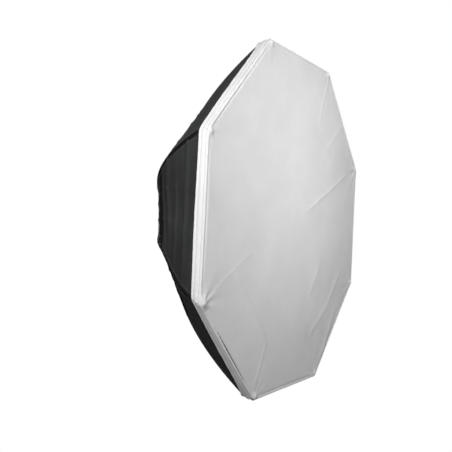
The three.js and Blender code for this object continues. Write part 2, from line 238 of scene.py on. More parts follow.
def placed(name, data):
    """A new object in the scene, made of the mesh, light or camera."""
    made = bpy.data.objects.new(name, data)
    bpy.context.scene.collection.objects.link(made)
    return made


def finished(name, mesh, materials, body, slot, stands_for=()):
    """The mesh as an object of the named materials, which rides on the body and stands for CAD nodes."""
    for material in materials:
        mesh.materials.append(MATERIALS[material])
    mesh.polygons.foreach_set("use_smooth", [True] * len(mesh.polygons))
    piece = placed(name, mesh)
    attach(piece, body)
    if stands_for:
        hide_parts(*stands_for)
    return piece


class Build:
    """Collects the points, faces, flat coordinates and material numbers of one mesh."""

    def __init__(self):
        self.points = []
        self.flat = []
        self.faces = []
        self.numbers = []
        self.count = 0

    def add(self, points, faces, flat=None, number=0):
        points = np.asarray(points, float).reshape(-1, 3)
        flat = points[:, [0, 2]] if flat is None else np.asarray(flat, float).reshape(-1, 2)
        self.points.append(points)
        self.flat.append(flat)
        self.faces += [[i + self.count for i in face] for face in faces]
        self.numbers += list(number) if hasattr(number, "__len__") else [number] * len(faces)
        self.count += len(points)
        return self

    def piece(self, name, *finish):
        """The finished object. finish is its materials, body, slot (not used) and the CAD nodes it stands
        for.
        """
        mesh = bpy.data.meshes.new(name)
        mesh.from_pydata(np.concatenate(self.points).tolist(), [], self.faces)
        mesh.polygons.foreach_set("material_index", self.numbers)
        loops = np.zeros(len(mesh.loops), int)
        mesh.loops.foreach_get("vertex_index", loops)
        layer = mesh.uv_layers.new(name="flat")
        layer.data.foreach_set("uv", np.concatenate(self.flat)[loops].ravel())
        mesh.update()
        return finished(name, mesh, *finish)


def grid_faces(rows, columns, wrap_rows=False, wrap_columns=False):
    """Quads of a grid of points. Its front is where rows run down and columns run to the right."""
    faces = []
    for i in range(rows if wrap_rows else rows - 1):
        here, below = i * columns, (i + 1) % rows * columns
        for j in range(columns if wrap_columns else columns - 1):
            right = (j + 1) % columns
            faces.append([here + j, below + j, below + right, here + right])
    return faces


def flipped(faces):
    return [face[::-1] for face in faces]


def disc_faces(rows, columns):
    """Faces of rings of points from the middle outwards, whose middle point is listed last."""
    hub = rows * columns
    faces = flipped(grid_faces(rows, columns, wrap_columns=True))
    return faces + [[hub, (j + 1) % columns, j] for j in range(columns)]


def tube_faces(rows, columns, closed=False):
    """Faces of rings of points one after another, with an end face at both ends or joined into a loop."""
    faces = grid_faces(rows, columns, wrap_rows=closed, wrap_columns=True)
    if not closed:
        last = (rows - 1) * columns
        faces.append(list(range(columns)))
        faces.append([last + i for i in reversed(range(columns))])
    return faces


def sweep(build, path, side, up, section, closed=False):
    """Adds a bar: the (side, up) section, listed counter-clockwise, carried along the path."""
    section = np.asarray(section, float)
    side = np.broadcast_to(side, path.shape)
    up = np.broadcast_to(up, path.shape)
    points = (
        path[:, None]
        + side[:, None] * section[None, :, :1]
        + up[:, None] * section[None, :, 1:]
    )
    flat = paired(distances(path)[:, None], distances(section)[None])
    return build.add(points, tube_faces(len(path), len(section), closed), flat)


def tape_section(width, thickness):
    """A flat tape's section with rounded edges, from its underside."""
    half, middle, edge = width / 2, thickness / 2, min(thickness / 2, width / 6)
    right = [
        (half - edge, 0),
        (half - edge * 0.3, middle * 0.35),
        (half, middle),
        (half - edge * 0.3, thickness - middle * 0.35),
        (half - edge, thickness),
    ]
    left = [(-x, y) for x, y in reversed(right)]
    return left[-1:] + right + [(0, thickness)] + left[:-1]


def round_section(radius, sides):
    angles = np.arange(sides) * 2 * math.pi / sides
    return np.stack([radius * np.cos(angles), radius * np.sin(angles)], axis=-1)


# A stitch's rings, as (place along it, radius, rise), in shares of its length and its thickness.
STITCH_RINGS = (
    (-0.5, 0.3, -0.9),
    (-0.34, 0.9, 0.0),
    (0.0, 1.0, 0.35),
    (0.34, 0.9, 0.0),
    (0.5, 0.3, -0.9),
)
STITCH_SIDES = 5


def stitches(build, path, up, pitch=5 * MM, thickness=0.5 * MM, closed=False, number=1):
    """Adds a row of thread stitches along the path, on the surface that faces up."""
    up = np.broadcast_to(up, path.shape)
    if closed:
        path = np.concatenate([path, path[:1]])
        up = np.concatenate([up, up[:1]])
    lengths = distances(path)
    count = max(1, int(lengths[-1] / pitch))
    spots = (np.arange(count) + 0.5) * lengths[-1] / count

    def at(values, where):
        return np.stack([np.interp(where, lengths, values[:, axis]) for axis in range(3)], axis=-1)

    middle = at(path, spots)
    along = unit(at(path, spots + pitch * 0.3) - at(path, spots - pitch * 0.3) + 1e-9)
    normal = unit(at(up, spots))
    across = unit(np.cross(along, normal))
    ring = 2 * math.pi * np.arange(STITCH_SIDES) / STITCH_SIDES
    shape = np.array([
        (x * pitch * 0.86, r * thickness / 2 * math.cos(a), (r * math.sin(a) + z) * thickness / 2)
        for x, r, z in STITCH_RINGS for a in ring
    ])
    points = (
        middle[:, None]
        + along[:, None] * shape[None, :, :1]
        + across[:, None] * shape[None, :, 1:2]
        + normal[:, None] * shape[None, :, 2:]
    )
    faces_of_one = flipped(tube_faces(len(STITCH_RINGS), STITCH_SIDES))
    faces = [[i + n * len(shape) for i in face] for n in range(count) for face in faces_of_one]
    return build.add(points, faces, None, number)


def modify(piece, kind, **settings):
    adjust(piece.modifiers.new(kind.lower(), kind), settings)


def solidify(piece, lining=0):
    """Gives a sheet its thickness, inward. With a lining, its inner side takes a later material."""
    modify(piece, "SOLIDIFY", thickness=CLOTH, offset=-1, use_even_offset=False, material_offset=lining)
    return piece


SAME_FLAT = math.radians(0.6)  # the most that two facets of one flat face differ by
SHARP_EDGE = math.radians(30)  # the least angle of an edge that is rounded


def refined(node, material, body, slot, bevel):
    """A copy of a CAD node's mesh with its flats merged, its edges rounded and its curves smooth."""
    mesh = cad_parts[node].data.copy()
    shape = bmesh.new()
    shape.from_mesh(mesh)
    bmesh.ops.remove_doubles(shape, verts=shape.verts, dist=1e-6)
    bmesh.ops.dissolve_limit(shape, angle_limit=SAME_FLAT, verts=shape.verts, edges=shape.edges)
    shape.to_mesh(mesh)
    shape.free()
    mesh.materials.clear()
    mesh.polygons.foreach_set("material_index", [0] * len(mesh.polygons))
    piece = finished(node + "_fine", mesh, [material], body, slot, [node])
    modify(piece, "BEVEL", width=bevel, segments=2, limit_method="ANGLE", angle_limit=SHARP_EDGE)
    modify(piece, "WEIGHTED_NORMAL", keep_sharp=True)


# ---- Materials ----

class Nodes:
    """A node tree, with short ways to add to it."""

    def __init__(self, owner):
        owner.use_nodes = True
        self.tree = owner.node_tree

    def node(self, kind, **settings):
        return adjust(self.tree.nodes.new("ShaderNode" + kind), settings)

    def link(self, value, target):
        """Gives the socket a node's output, a number or a linear colour."""
        if hasattr(value, "is_linked"):
            self.tree.links.new(value, target)
        elif hasattr(value, "__len__"):
            target.default_value = (*value, 1)
        else:
            target.default_value = value

    def spread(self, value, low, high, start=0.3, end=0.7):
        """The value from start to end, carried onto low to high."""
        made = self.node("MapRange", From_Min=start, From_Max=end, To_Min=low, To_Max=high)
        self.link(value, made.inputs["Value"])
        return made.outputs["Result"]


class Shader(Nodes):
    """A material's node tree, with the nodes that the materials here use."""

    def __init__(self, name, **sockets):
        self.material = bpy.data.materials.new(name)
        super().__init__(self.material)
        self.surface = adjust(self.tree.nodes["Principled BSDF"], sockets)
        self.place = self.node("TexCoord")

    def spot(self, scale, source="Object", stretch=(1, 1, 1)):
        """Coordinates stretched by a mapping node."""
        mapping = self.node("Mapping", Scale=[scale * s for s in stretch])
        self.link(self.place.outputs[source], mapping.inputs["Vector"])
        return mapping.outputs["Vector"]

    def grain(self, scale, detail=4.0, source="Object", stretch=(1, 1, 1), rough=0.6):
        made = self.node("TexNoise", Scale=1, Detail=detail, Roughness=rough)
        self.link(self.spot(scale, source, stretch), made.inputs["Vector"])
        return made.outputs["Fac"]

    def waves(self, pitch, source, **settings):
        """Parallel ribs or rings, one to each pitch."""
        made = self.node("TexWave", Scale=math.pi / 10 / pitch, **settings)
        self.link(self.place.outputs[source], made.inputs["Vector"])
        return made.outputs["Fac"]

    def weave(self, warp, weft):
        """Crossing threads, at a pitch across and a pitch along the cloth."""
        threads = [
            self.waves(pitch, "UV", wave_type="BANDS", bands_direction=way, Distortion=0.6, Detail_Scale=2)
            for pitch, way in ((warp, "X"), (weft, "Y"))
        ]
        return self.math("MULTIPLY", *threads)

    def math(self, operation, a, b):
        made = self.node("Math", operation=operation)
        for value, target in zip((a, b), made.inputs):
            self.link(value, target)
        return made.outputs[0]

    def blend(self, factor, low, high):
        """A colour between two."""
        made = self.node("Mix", data_type="RGBA")
        for value, target in ((factor, "Factor"), (low, 6), (high, 7)):
            self.link(value, made.inputs[target])
        return made.outputs[2]

    def colour(self, output):
        self.link(output, self.surface.inputs["Base Color"])

    def rough(self, output):
        self.link(output, self.surface.inputs["Roughness"])

    def relief(self, *layers):
        """Stacks (height, depth in metres) layers as bumps."""
        last = None
        for height, depth in layers:
            bump = self.node("Bump", Strength=1, Distance=depth)
            self.link(height, bump.inputs["Height"])
            if last:
                self.link(last, bump.inputs["Normal"])
            last = bump.outputs["Normal"]
        self.link(last, self.surface.inputs["Normal"])


def woven(name, dark, light, pitch, depth, roughness, sheen=0.0, specular=0.5, soil=0.0):
    """Plain-woven cloth: crossing threads, broad uneven tone, slubs, and a little soiling if asked."""
    shader = Shader(name, Sheen_Weight=sheen, Sheen_Roughness=0.4, Specular_IOR_Level=specular)
    weave = shader.weave(pitch, pitch)
    broad = shader.grain(9, detail=5)
    slubs = shader.grain(1, detail=2, source="UV", stretch=(90, 900, 1))
    tone = shader.math("ADD", shader.spread(broad, 0.0, 0.6), shader.spread(slubs, 0.0, 0.25))
    tone = shader.math("ADD", tone, shader.math("MULTIPLY", weave, 0.25))
    base = shader.blend(tone, dark, light)
    if soil:
        patches = shader.spread(shader.grain(3.5, detail=7, rough=0.7), 0, soil, 0.5, 0.85)
        base = shader.blend(patches, base, [c * 0.6 for c in dark])
    shader.colour(base)
    shader.rough(shader.spread(broad, roughness - 0.07, roughness + 0.07))
    shader.relief((shader.grain(60, detail=3), depth * 2), (weave, depth))
    return shader.material


def fuzzy(name, dark, light):
    """Loop tape: a mat of tiny loops."""
    shader = Shader(name, Roughness=0.95, Sheen_Weight=0.35, Sheen_Roughness=0.5)
    loops = shader.grain(900, detail=2)
    clumps = shader.grain(120, detail=3)
    shader.colour(shader.blend(shader.math("MULTIPLY", loops, clumps), dark, light))
    shader.relief((clumps, 0.5 * MM), (loops, 0.5 * MM))
    return shader.material


def webbing(name, dark, light, pitch, specular=0.15):
    """Narrow woven tape with ribs along it."""
    shader = Shader(name, Specular_IOR_Level=specular)
    weave = shader.weave(pitch * 1.6, pitch)
    tone = shader.math("ADD", shader.spread(shader.grain(25), 0, 0.6), shader.math("MULTIPLY", weave, 0.4))
    shader.colour(shader.blend(tone, dark, light))
    shader.rough(shader.spread(shader.grain(40), 0.77, 0.93))
    shader.relief((weave, 0.25 * MM))
    return shader.material


def lining(name):
    """Aluminised cloth: bright, crinkled and a little uneven."""
    shader = Shader(name, Metallic=0.85)
    crinkle = shader.grain(70, detail=6, rough=0.7)
    weave = shader.weave(1.1 * MM, 1.1 * MM)
    shader.colour(shader.blend(shader.spread(crinkle, 0, 1), (0.52, 0.53, 0.55), (0.78, 0.79, 0.8)))
    shader.rough(shader.spread(shader.grain(25), 0.34, 0.55))
    shader.relief((crinkle, 0.8 * MM), (weave, 0.06 * MM))
    return shader.material


def metal(name, dark, light, roughness, turned=0.0, scratches=0.0):
    """Bare metal, with turning marks round the optical axis if asked, fine scratches and handling marks."""
    shader = Shader(name, Metallic=1.0)
    marks = shader.grain(35, detail=6)
    base = shader.blend(shader.spread(marks, 0, 1), dark, light)
    layers = [(shader.grain(400, detail=3), 0.01 * MM)]
    if turned:
        rings = shader.waves(turned, "Object", wave_type="RINGS", rings_direction="Y", wave_profile="SAW",
                             Distortion=1.5)
        layers.append((rings, 0.012 * MM))
    if scratches:
        lines = shader.grain(1, detail=3, stretch=(30, 900, 60))
        layers.append((lines, scratches))
    shader.colour(base)
    shader.rough(shader.spread(marks, roughness - 0.08, roughness + 0.12))
    shader.relief(*layers)
    return shader.material


def painted(name, dark, light, roughness, worn):
    """Powder-coated casting: orange-peel skin, uneven tone and small worn spots."""
    shader = Shader(name)
    peel = shader.grain(650, detail=2)
    broad = shader.grain(28, detail=5)
    wear = shader.spread(shader.grain(190, detail=8, rough=0.75), 0, 1, 0.66, 0.74)
    base = shader.blend(shader.spread(broad, 0, 1), dark, light)
    shader.colour(shader.blend(wear, base, worn))
    shader.rough(shader.spread(broad, roughness - 0.08, roughness + 0.1))
    shader.relief((broad, 0.06 * MM), (peel, 0.05 * MM))
    return shader.material


def moulded(name, dark, light, roughness):
    """Moulded plastic with a fine spark-eroded grain."""
    shader = Shader(name)
    grain = shader.grain(1400, detail=2)
    broad = shader.grain(60, detail=4)
    shader.colour(shader.blend(shader.spread(broad, 0, 1), dark, light))
    shader.rough(shader.spread(grain, roughness - 0.06, roughness + 0.08))
    shader.relief((grain, 0.03 * MM))
    return shader.material


def grey(value, tint=0.0):
    """A neutral linear colour, a little cooler with a positive tint."""
    return (value * (1 - tint), value, value * (1 + tint))


def make_materials():
    return {
        "shell": woven("black_nylon", grey(0.03, 0.02), grey(0.06, 0.02), 1.0 * MM, 0.12 * MM, 0.72,
                       specular=0.14),
        # Darker cloth for the rear panel and the collar; on the rear panel it is partly painted shade, where
        # the shell turns away from the light.
        "rear": woven("rear_cloth_and_painted_shade", grey(0.007), grey(0.014), 1.3 * MM, 0.1 * MM, 0.85,
                      specular=0.12),
        "lining": lining("silver_lining"),
        "binding": webbing("black_binding", grey(0.003), grey(0.008), 0.9 * MM),
        "thread": webbing("grey_thread", grey(0.09), grey(0.14), 0.4 * MM, specular=0.4),
        "white_thread": webbing("white_thread", grey(0.6), grey(0.78), 0.4 * MM),
        "loops": fuzzy("loop_tape", grey(0.004), grey(0.02)),
        "diffuser": woven("white_nylon", grey(0.72), grey(0.82), 0.9 * MM, 0.05 * MM, 0.7,
                          sheen=0.1, specular=0.3, soil=0.12),
        "baffle": woven("baffle_nylon", grey(0.7), grey(0.8), 1.2 * MM, 0.08 * MM, 0.75, specular=0.3),
        "elastic": webbing("black_elastic", grey(0.008), grey(0.025), 1.4 * MM),
        "adapter": metal("turned_alloy", grey(0.5, 0.01), grey(0.66, 0.01), 0.3, turned=0.7 * MM),
        "ring": painted("black_powder_coat", grey(0.014, 0.03), grey(0.026, 0.03), 0.45, grey(0.1)),
        "steel": metal("zinc_plate", grey(0.42, 0.02), grey(0.58, 0.02), 0.32, scratches=0.02 * MM),
        "rod": metal("spring_steel", grey(0.3, 0.02), grey(0.42, 0.02), 0.3, scratches=0.03 * MM),
        "brass": metal("brass", (0.42, 0.28, 0.1), (0.58, 0.4, 0.16), 0.35, scratches=0.02 * MM),
        "knob": moulded("knob_plastic", grey(0.01), grey(0.018), 0.5),
        "cap": moulded("cap_plastic", grey(0.012), grey(0.02), 0.55),
    }


# ---- Front diffuser and its hem ----

# Creases that the cloth keeps from being folded, as (x, z) ends in apothems, height and width in metres.
CREASES = (
    ((-0.95, -0.40), (-0.50, -0.17), 0.6 * MM, 5 * MM),
    ((0.80, 0.36), (0.17, 0.07), 1.4 * MM, 5 * MM),
    ((0.72, 0.72), (0.44, 0.49), 1.6 * MM, 6 * MM),
    ((0.41, 0.97), (0.30, 0.64), 1.0 * MM, 7 * MM),
    ((-0.68, -0.29), (-0.30, -0.69), 2.8 * MM, 5 * MM),
    ((-0.30, -0.69), (-0.42, -0.93), 1.2 * MM, 6 * MM),
    ((0.75, -0.33), (0.57, -0.54), 2.0 * MM, 6 * MM),
    ((0.57, -0.54), (0.30, -0.71), 2.0 * MM, 6 * MM),
    ((0.39, -0.28), (0.25, -0.47), 1.4 * MM, 8 * MM),
    ((0.70, -0.58), (0.47, -0.94), 1.8 * MM, 9 * MM),
)
LIP = 1.2 * MM  # radius of the fold round the front edge
WELT = 5 * MM  # from the fold to the first line of stitches
KNOT_HEIGHT = 4.5 * MM  # how far a rod's end pushes the corner out
KNOT_WIDTH = 9 * MM
KNOT_INSET = 7 * MM  # from the corner
BAGGY_CORNER = 4
BAGGY_GROWTH = 1.7
PUCKER = (1.6, 0.6, 0.25, 0.6, 1.1, 0.4, 0.7, 0.8)  # in mm, the pulled folds that run out of each corner
HEM_BOW = (1.5, 2.0, 1.5, 1.5, 0.0, 1.0, 2.0, 1.0)  # in mm, how far each side's back edge stands off
FLARED_CORNERS = (2, 5)
FLARE = 13 * MM  # how much further back the hem reaches at the flared corners
ROLLED_SIDE = 5  # at the lower left, seen from the front left
EDGE_ROLL = 3.2 * MM  # how far that side's edge rolls back
SLIPPED_DOWN = 10 * MM  # how far the front of the baggy corner has slipped down past the rod's end
SLIP_TWIST = 1.4  # the hem's back edge has gone the other way, by this share less one
HEM_SEAMS = (0.27, 0.80)  # the hem's lines of stitches, as shares of its width


def slipped(points):
    """Slides the diffuser's baggy corner along the edge of the side before it, and the next edge with it."""
    reach = np.hypot(points[..., 0], points[..., 2])
    angle = np.arctan2(points[..., 2], points[..., 0])
    side, along = side_places(angle)
    weight = np.where(side == BAGGY_CORNER, along**3, np.where(side == BAGGY_CORNER + 1, 1 - along, 0.0))
    outer = np.clip(reach / outline(angle, APOTHEM) * 3 - 2, 0, 1) ** 2
    depth = np.clip((points[..., 1] - FRONT) / HEM_WIDTH, 0, 1)
    moved = points.copy()
    moved[..., 2] -= SLIPPED_DOWN * weight * outer * (1 - SLIP_TWIST * depth)
    return moved


def crease_height(x, z):
    """Sharp-topped ridges along the creases, fading out towards their ends."""
    height = np.zeros_like(x)
    for start, end, rise, width in CREASES:
        start, end = np.array(start) * APOTHEM, np.array(end) * APOTHEM
        along = end - start
        length = np.linalg.norm(along)
        share = ((x - start[0]) * along[0] + (z - start[1]) * along[1]) / length**2
        wander = 0.6 * MM * np.sin(5 * share)
        off = ((x - start[0]) * along[1] - (z - start[1]) * along[0]) / length + wander
        fade = np.clip(np.minimum(share + 0.1, 1.1 - share) * 4, 0, 1)
        fade = fade * fade * (3 - 2 * fade)
        height += rise * fade * np.exp(-np.sqrt((off / width) ** 2 + 0.02))
    return height


def from_corner(k, x, z, reach):
    """How far each point is from corner k, at that reach, and which way, 0 being away from the axis."""
    corner = around(corner_angle(k), reach, 0.0)
    across, up = x - corner[0], z - corner[2]
    return np.hypot(across, up), np.arctan2(up, across) - corner_angle(k)


def disc(shares, reach, angles, apothem):
    """x, z and the distance from the edge, of rings of points at shares of the reach."""
    radius = shares[:, None] * reach
    return radius * np.cos(angles), radius * np.sin(angles), (1 - shares[:, None]) * apothem


def edge_roll(side, along):
    """How far the face's edge rolls back towards the rim."""
    return np.where(side == ROLLED_SIDE, EDGE_ROLL, 0.0) * np.sin(np.pi * along) ** 0.4


def face_height(x, z, angle, inside):
    """How far the face stands out of its plane, towards the front. inside is the distance from its edge."""
    side, along = side_places(angle)
    height = crease_height(x, z)
    points = np.stack([x, np.zeros_like(x), z], axis=-1)
    height += 1.6 * MM * cloud(points, 0.24, 3.1) + 0.5 * MM * cloud(points, 0.07, 8.7)
    for k in range(SIDES):
        grown = BAGGY_GROWTH if k == BAGGY_CORNER else 1.0
        far, turn = from_corner(k, x, z, APOTHEM / math.cos(HALF_SIDE) - KNOT_INSET)
        puckers = np.cos(9 * turn + k + 1.2 * np.sin(3 * turn + k)) * np.exp(-far / 0.05)
        puckers *= np.clip(far / 0.02, 0, 1)
        height += PUCKER[k] * MM * puckers + KNOT_HEIGHT * grown * bell(far, KNOT_WIDTH * grown)
    height -= 1.6 * MM * np.sin(np.pi * along) ** 0.5 * bell(inside - WELT, 3 * MM)
    height += 0.35 * MM * np.cos(2 * np.pi * along * SIDE_LENGTH / (16 * MM)) * np.exp(-inside / 0.016)
    held = 1 - np.exp(-inside / 0.004)
    return height * (0.25 + 0.75 * held) - edge_roll(side, along) * np.exp(-((inside / 0.009) ** 2))


def make_face():
    """The white front sheet, folded back over the rim all round."""
    angles = outline_angles(64)
    reach = outline(angles, APOTHEM) - LIP
    near_edge = np.concatenate([np.linspace(0.0, 0.93, 66), np.linspace(0.936, 1.0, 17)])
    x, z, inside = disc(near_edge[1:], reach, angles, APOTHEM)
    height = face_height(x, z, angles, inside)
    rings = [np.stack([x, FRONT - height, z], axis=-1)]
    for turn in (0.3, 0.65, 1.0):
        out = LIP * math.sin(turn * math.pi / 2)
        back = LIP * (1 - math.cos(turn * math.pi / 2))
        rings.append(around(angles, reach + out, FRONT - height[-1] + back)[None])
    for back in (1.2 * MM, 2.6 * MM, 4.0 * MM):
        rings.append(around(angles, reach + LIP, FRONT + LIP + back + 0.1 * MM * np.sin(40 * angles))[None])
    points = slipped(np.concatenate(rings))
    centre = rings[0][0].mean(axis=0, keepdims=True)
    build = Build().add(np.concatenate([points.reshape(-1, 3), centre]), disc_faces(*points.shape[:2]))
    piece = build.piece("front_diffuser_cloth", ["diffuser"], "diffuser", "diffuser_cloth",
                        ["front_diffuser"])
    return solidify(piece)


def hem_bump(share):
    """How far the hem's welt, belly, lines of stitches and rolled edge stand out, at a share of its width."""
    welt = 0.9 * MM * bell(share - 0.13, 0.08)
    belly = 1.2 * MM * np.sin(np.pi * np.clip((share - 0.3) / 0.5, 0, 1)) ** 2
    lines = 1.7 * MM * bell(share - HEM_SEAMS[0], 0.07) + 1.1 * MM * bell(share - HEM_SEAMS[1], 0.05)
    roll = 0.9 * MM * bell(share - 0.94, 0.09)
    return welt + belly - lines + roll


def hem_surface(angles, back):
    """Points on the hem's outside."""
    side, along = side_places(angles)
    share = back / HEM_WIDTH
    bow = np.array(HEM_BOW)[side] * MM * np.sin(np.pi * along) ** 0.8 * share**1.5
    ends = np.minimum(along, 1 - along) * SIDE_LENGTH
    nearest = np.where(along > 0.5, side, side - 1) % SIDES
    grown = np.where(nearest == BAGGY_CORNER, BAGGY_GROWTH, 1.0)
    knot = 2.4 * MM * bell(ends, 10 * MM * grown) * bell(share - 0.12, 0.35)
    folds = np.cos(2 * np.pi * ends / (13 * MM)) * np.exp(-ends / 0.04) * np.sin(np.pi * share)
    pucker = 0.25 * MM * np.sin(2 * np.pi * along * SIDE_LENGTH / (9 * MM))
    pucker = pucker * (1 - np.sin(np.pi * share) * 0.5)
    rough = 0.6 * MM * np.sin(11 * along + 2.3 * side) * np.sin(np.pi * share)
    out = hem_bump(share) + bow + knot + 0.6 * MM * folds + pucker + rough
    flare = FLARE * np.isin(nearest, FLARED_CORNERS) * np.exp(-ends / 0.03) * share**2
    back_edge = 0.8 * MM * np.sin(7 * along + side) * share**3 + flare
    out = out - 0.35 * flare
    back = back + edge_roll(side, along) * (1 - share)
    reach = outline(angles, APOTHEM - 0.5 * MM) + out
    return slipped(around(angles, reach, FRONT + back + back_edge))


def make_hem():
    """The white band that wraps round the outside of the rim, with two lines of stitches."""
    angles = outline_angles(64)
    backs = np.concatenate([[2.2 * MM], np.linspace(3.4 * MM, HEM_WIDTH, 22)])
    points = hem_surface(angles, backs[:, None])
    faces = flipped(grid_faces(len(backs), len(angles), wrap_columns=True))
    build = Build().add(points, faces, paired(angles[None] * APOTHEM, backs[:, None]))
    piece = build.piece("diffuser_hem_cloth", ["diffuser"], "diffuser", "diffuser_cloth", ["diffuser_hem"])
    solidify(piece)
    threads = Build()
    for share in HEM_SEAMS:
        path = hem_surface(angles, share * HEM_WIDTH)
        stitches(threads, path, around(angles, 1.0, 0.0), 4.5 * MM, 0.6 * MM, closed=True, number=0)
    threads.piece("diffuser_hem_stitches", ["white_thread"], "diffuser", "diffuser_cloth")
    return piece


def make_face_stitches():
    """The line of stitches just inside the face's edge."""
    angles = outline_angles(64)
    radius = (outline(angles, APOTHEM) - LIP) * (1 - WELT / APOTHEM)
    x, z = radius * np.cos(angles), radius * np.sin(angles)
    path = slipped(np.stack([x, FRONT - face_height(x, z, angles, WELT), z], axis=-1))
    build = stitches(Build(), path, FRONTWARD, 4.5 * MM, 0.6 * MM, closed=True, number=0)
    build.piece("front_diffuser_stitches", ["white_thread"], "diffuser", "diffuser_cloth")


# ---- Shell ----

TOPSTITCH = 13 * MM  # from a seam to the line of stitches beside it
LONG_CREASES = (0.33, 0.62)  # from the ring to the rim, as shares of a gore's width
CROSS_FOLDS = (0.43, 0.53, 0.645, 0.76, 0.89)  # from seam to seam, as shares of a gore's length
SEAM_GAP = 0.0012  # share of a gore's width that is left open beside each seam
COLLAR_MOUTH = 79.4 * MM  # radius of the collar's opening round the ring
COLLAR_LENGTH = 14 * MM
COLLAR_TUCK = 1.2 * MM  # how far the collar's front edge reaches in under the gores
BINDING_END = 0.985  # share of the rod's curve where the seam's binding ends
BINDING_HALF = 7.5 * MM
BINDING_THICK = 0.9 * MM
TOPSTITCH_START = 0.33  # share of the rod's curve


def gore_lift(k, share, across):
    """The gore's creases, pull lines and unevenness, in metres out of the smooth surface."""
    along = np.clip((share - SHELL_START) / (1 - SHELL_START), 0, 1)
    held = np.sqrt(np.clip(4 * across * (1 - across), 0, 1)) * np.clip(along * 8, 0, 1)
    points = gore_surface(k, share, across)
    lift = 2.2 * MM * cloud(points, 0.16, 5 + k) + 0.7 * MM * cloud(points, 0.05, 11 + k)
    for fold in LONG_CREASES:
        wander = 0.012 * np.sin(9 * along + k + fold)
        lift += 2.0 * MM * np.exp(-np.abs(across - fold - wander) / 0.03)
    for n, fold in enumerate(CROSS_FOLDS):
        slant = 0.05 * (across - 0.5) * (0.9 - fold) / 0.5 + 0.01 * np.sin(6 * across + 2 * k + n)
        rise = (5.2 + 1.8 * math.sin(3.1 * n + 1.7 * k)) * MM
        reach = 0.55 + 0.45 * np.sin(np.pi * across + 0.9 * math.sin(2.3 * n + k))
        lift += rise * reach * bell(along - fold - slant, 0.019 + 0.005 * math.sin(2 * n + k))
    width = gore_width(k, share)
    for edge in (0.0, 1.0):
        near = np.abs(across - edge) * width
        lift += 0.9 * MM * bell(near - TOPSTITCH, 2.5 * MM) * (along > 0.3)
        pull = np.sin(2 * np.pi * (along * 19 + 0.1 * k) + 2.0 * near / 0.05)
        lift += 0.7 * MM * pull * np.exp(-near / 0.035)
    front = (1 - along) * ROD_LENGTH
    lift += 0.9 * MM * np.cos(2 * np.pi * across * 15 + k) * np.exp(-front / 0.03)
    return lift * held


def make_gore(k):
    """One gore of black cloth, with its silver inside and the rear panel, whose darker cloth is partly
    painted shade.
    """
    shares = np.concatenate([
        np.linspace(SHELL_START, REAR_PANEL_END, 42),
        np.linspace(REAR_PANEL_END, 1.0, 56)[1:],
    ])
    edge = np.linspace(0, 1, 53)
    across = 0.5 - 0.5 * np.cos(np.pi * edge) * 0.35 - 0.65 * (0.5 - edge)
    across = 0.5 + (across - 0.5) * (1 - 2 * SEAM_GAP) / (across[-1] - across[0])
    share_grid, across_grid = np.meshgrid(shares, across, indexing="ij")
    points = gore_surface(k, share_grid, across_grid, gore_lift(k, share_grid, across_grid))
    tucked = points[-1].copy()
    tucked[:, 1] -= 7 * MM
    outward = around(MIDDLES[k], 1.0, 0.0)
    tucked += outward * (APOTHEM - 2.1 * MM - tucked @ outward)[:, None]
    points = np.concatenate([points, tucked[None]])
    rows, columns = points.shape[:2]
    widths = np.linalg.norm(points[:, -1] - points[:, 0], axis=1)[:, None]
    flat_across = (across[None] - 0.5) * widths
    flat_along = np.concatenate([shares, [shares[-1] + 0.013]])[:, None] * ROD_LENGTH
    faces = flipped(grid_faces(rows, columns))
    middle_share = (shares[1:] + shares[:-1]) / 2
    # The rear rows take the darker cloth, which is partly painted shade.
    rear = np.concatenate([middle_share < REAR_PANEL_END, [False]])
    numbers = np.repeat(np.where(rear, 2, 0), columns - 1).tolist()
    build = Build().add(points, faces, paired(flat_across, flat_along), numbers)
    cloths = ["shell", "lining", "rear", "lining"]
    piece = build.piece(f"gore_{k + 1}_cloth", cloths, "shell", "shell_cloth", [f"shell_gore_{k + 1}"])
    return solidify(piece, lining=1)


def gore_side(k, share, toward):
    """Unit directions along gore k's surface, away from its seam on rod k - 1 (toward 1) or k (toward -1)."""
    return unit(seam(k, share) - seam(k - 1, share)) * toward


def make_seam_binding(k):
    """The folded tape sewn over the seam on rod k, lying on both gores, with its stitches."""
    shares = np.linspace(SHELL_START + 0.004, BINDING_END, 110)
    spine = seam(k, shares)
    sides = (gore_side(k, shares, -1), gore_side(k + 1, shares, 1))
    normals = (gore_normal(k, shares), gore_normal(k + 1, shares))
    ridge = unit(normals[0] + normals[1])
    steps = (1.0, 0.9, 0.5)
    outer, inner = [], []
    for n, order in ((0, steps), (1, steps[::-1])):
        for step in order:
            drop = 0.45 if step == 1.0 else 1.0
            on_gore = spine + sides[n] * BINDING_HALF * step
            outer.append(on_gore + normals[n] * BINDING_THICK * drop)
            inner.append(on_gore + normals[n] * 0.12 * MM)
        if n == 0:
            outer.append(spine + ridge * BINDING_THICK * 1.25)
            inner.append(spine + ridge * 0.12 * MM)
    ring = np.stack(outer + inner[::-1], axis=1)
    flat = paired(shares[:, None] * ROD_LENGTH, np.linspace(0, 20 * MM, ring.shape[1])[None])
    build = Build().add(ring, tube_faces(*ring.shape[:2]), flat)
    for n, gore in ((0, k), (1, (k + 1) % SIDES)):
        path = spine + sides[n] * BINDING_HALF * 0.72 + normals[n] * BINDING_THICK
        stitches(build, path, normals[n])
        rows = shares[shares > TOPSTITCH_START]
        inset = TOPSTITCH / gore_width(gore, rows)
        across = inset if n else 1 - inset
        path = gore_surface(gore, rows, across, gore_lift(gore, rows, across))
        stitches(build, path, gore_normal(gore, rows), thickness=1.0 * MM)
    build.piece(f"seam_binding_{k + 1}", ["binding", "thread"], "shell", "band_cloth")


